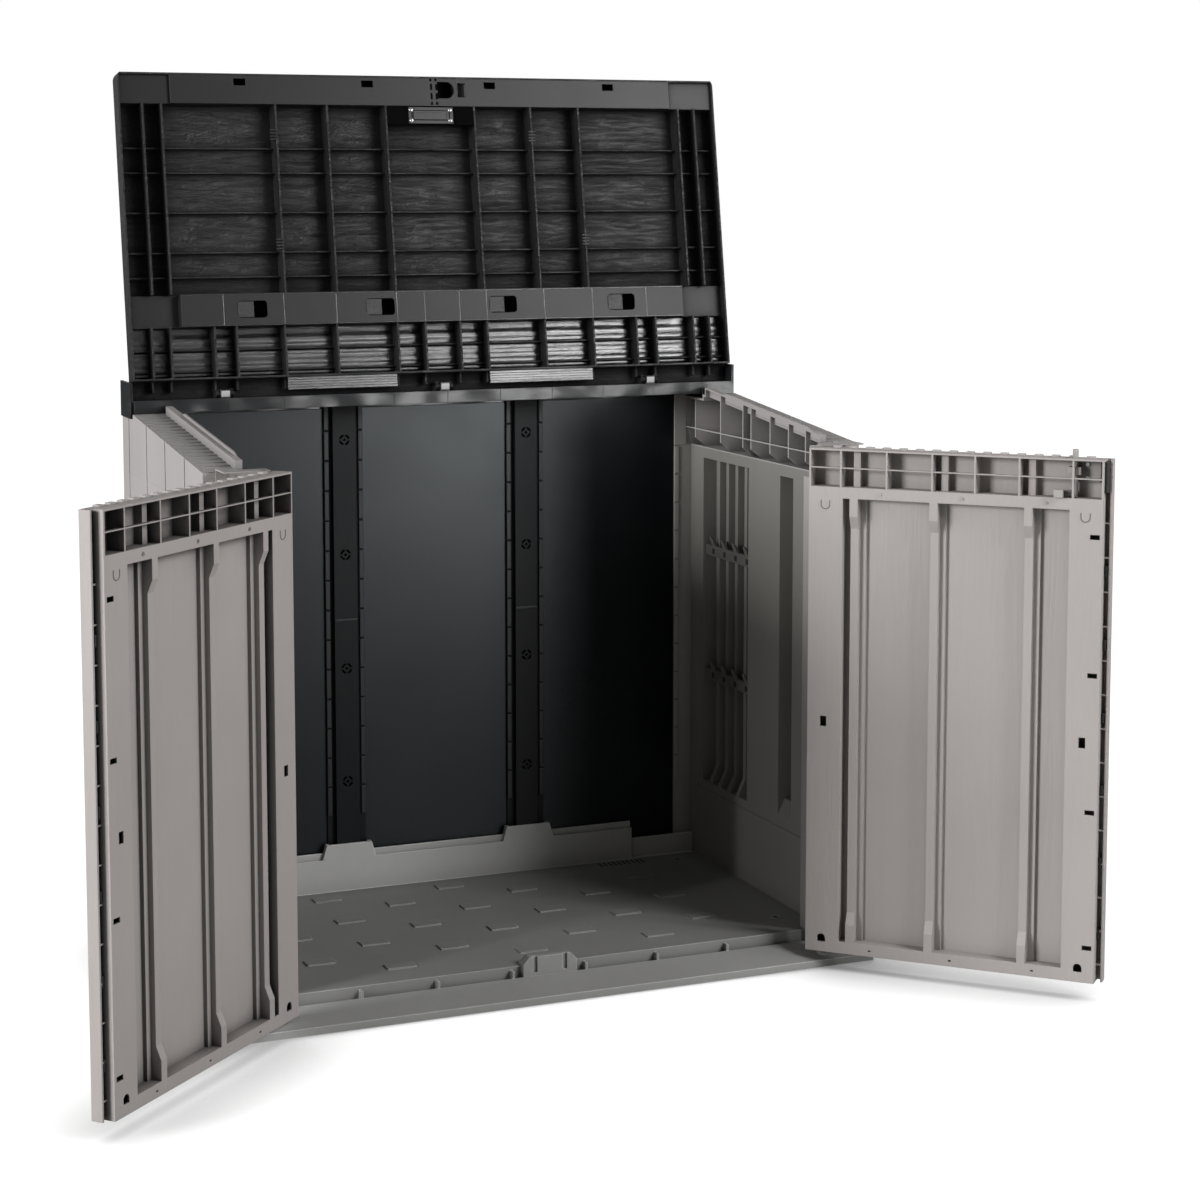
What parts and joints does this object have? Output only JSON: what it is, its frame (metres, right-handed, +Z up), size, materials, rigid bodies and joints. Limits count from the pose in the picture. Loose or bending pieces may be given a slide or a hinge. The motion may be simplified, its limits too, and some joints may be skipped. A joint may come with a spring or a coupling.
{
  "type": "garden storage box",
  "caption": "Moulded plastic garden storage box with a sloping top-hinged ribbed lid, paired planked front doors on corner pivots, a sill tray, inside tool racks and a sliding door bolt.",
  "frame": {"origin": "middle of the tray's flat underside, on the ground", "axes": "+Z up, the doors and sill face -Y, the lid hinges at the +Y side, +X is to the right seen from the front"},
  "size_m": [2.1069, 1.3078, 1.931],
  "materials": {
    "back_sheet": "thin extruded sheet, satin",
    "bolt_plastic": "moulded, smooth",
    "bracket_metal": "bent and painted",
    "door_plastic": "moulded, wood-grain embossed",
    "lid_plastic": "moulded, wood-grain embossed skin",
    "lock_plastic": "moulded, smooth",
    "post_plastic": "moulded, satin",
    "rack_plastic": "moulded, smooth",
    "rail_plastic": "moulded, glossy",
    "steel": "bright zinc plated",
    "tray_plastic": "moulded, fine satin grain",
    "wall_plastic": "moulded, wood-grain embossed"
  },
  "bodies": {
    "box": {"base_tray": "tray_plastic", "centre_back_sheet": "back_sheet", "hinge_bracket_screws": "steel", "hinge_rail": "rail_plastic", "left_back_sheet": "back_sheet", "left_door_pins": "steel", "left_front_jamb": "wall_plastic", "left_hinge_bracket": "bracket_metal", "left_lower_tool_rack": "rack_plastic", "left_post_lower": "post_plastic", "left_post_upper": "post_plastic", "left_rail_cap": "rail_plastic", "left_rear_strip": "wall_plastic", "left_side_liner": "wall_plastic", "left_side_panel": "wall_plastic", "left_upper_tool_rack": "rack_plastic", "left_wall_top": "wall_plastic", "lid_hinge_pins": "steel", "right_back_sheet": "back_sheet", "right_door_pins": "steel", "right_front_jamb": "wall_plastic", "right_hinge_bracket": "bracket_metal", "right_lower_tool_rack": "rack_plastic", "right_post_lower": "post_plastic", "right_post_upper": "post_plastic", "right_rail_cap": "rail_plastic", "right_rear_strip": "wall_plastic", "right_side_liner": "wall_plastic", "right_side_panel": "wall_plastic", "right_upper_tool_rack": "rack_plastic", "right_wall_top": "wall_plastic", "sill_striker": "tray_plastic"},
    "lid": {"bolt_keeper": "steel", "left_lid_corner": "lid_plastic", "lid_crossbar": "lid_plastic", "lid_front_bar": "lid_plastic", "lid_metal_plate": "steel", "lid_panel": "lid_plastic", "lid_plate_bracket": "lid_plastic", "lid_plate_rivets": "steel", "right_lid_corner": "lid_plastic"},
    "left_door": {"left_door_skin": "door_plastic", "left_door_liner": "door_plastic", "left_liner_screws": "steel"},
    "right_door": {"right_door_skin": "door_plastic", "right_door_liner": "door_plastic", "right_liner_screws": "steel", "bolt_guide": "bolt_plastic", "bolt_guide_screws": "steel", "edge_lock": "lock_plastic"},
    "bolt": {"slide_bolt": "bolt_plastic"}
  },
  "joints": [
    {"name": "lid_hinge", "type": "hinge", "parent": "box", "child": "lid", "pos_m": [0, 0.327, 1.226], "axis": [1, 0, 0], "range_deg": [0, 104.9]},
    {"name": "left_door_hinge", "type": "hinge", "parent": "box", "child": "left_door", "pos_m": [-0.6175, -0.376, 0], "axis": [0, 0, 1], "range_deg": [-3, 137]},
    {"name": "right_door_hinge", "type": "hinge", "parent": "box", "child": "right_door", "pos_m": [0.6175, -0.376, 0], "axis": [0, 0, 1], "range_deg": [-134.6, 5.4]},
    {"name": "bolt_slide", "type": "slide", "parent": "right_door", "child": "bolt", "axis": [0, 0, 1], "range_m": [0, 0.02]}
  ]
}
